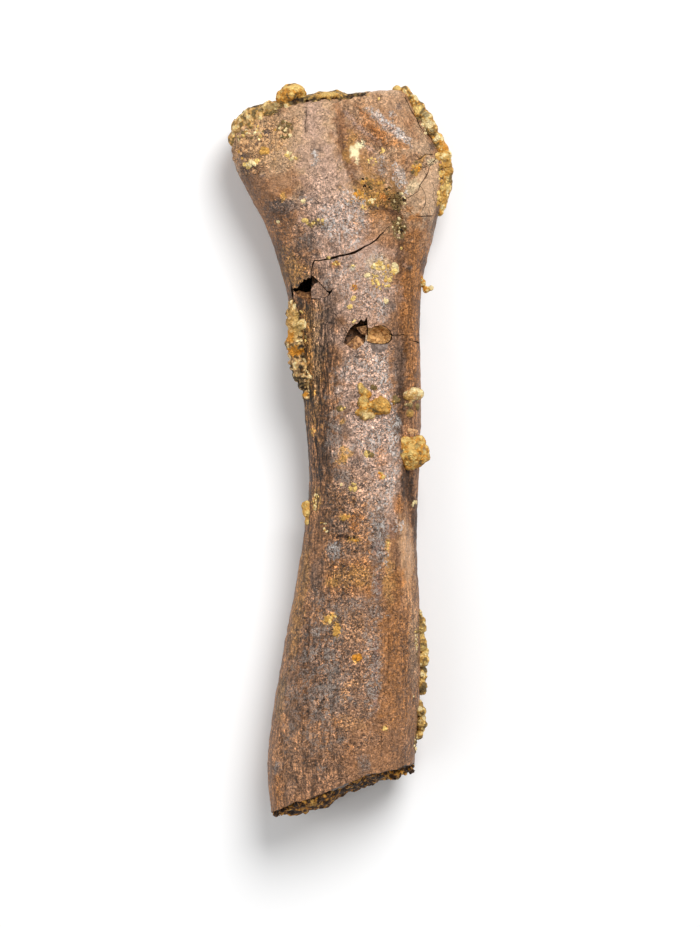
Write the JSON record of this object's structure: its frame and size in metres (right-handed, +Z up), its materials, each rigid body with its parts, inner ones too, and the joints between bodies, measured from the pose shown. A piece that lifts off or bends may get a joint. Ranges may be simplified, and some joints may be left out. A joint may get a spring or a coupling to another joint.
{
  "type": "fossil dinosaur limb bone",
  "caption": "Fossil limb bone lying flat, broken off at one end, with cemented sandstone lumps still on its surface.",
  "frame": {"origin": "on the surface the bone lies on, under the middle of its bounding box", "axes": "+Y along the bone towards its joint end, +X across it towards the edge with the round nodule, +Z up through the face that the picture shows"},
  "size_m": [0.0513, 0.1704, 0.0255],
  "materials": {
    "cortex": "brown mineralised bone, silky to glossy along the crest",
    "matrix_ochre": "yellow, gritty cemented sandstone",
    "matrix_olive": "olive brown, gritty cemented sandstone",
    "matrix_pale": "pale, gritty cemented sandstone"
  },
  "bodies": {
    "root": {"bone": "cortex", "cortex_chip": "cortex", "matrix_corner_crust": "matrix_ochre", "matrix_end_crust": "matrix_olive", "matrix_end_nodule": "matrix_ochre", "matrix_rim_crust": "matrix_ochre", "matrix_shaft_crust": "matrix_olive", "matrix_twin_nodule": "matrix_ochre", "matrix_pale_nodule": "matrix_pale", "matrix_round_nodule": "matrix_ochre", "matrix_side_crumb": "matrix_ochre", "matrix_left_crumb": "matrix_ochre", "matrix_edge_crust": "matrix_olive", "matrix_edge_crumb": "matrix_olive", "matrix_break_fill": "matrix_olive"}
  },
  "joints": []
}
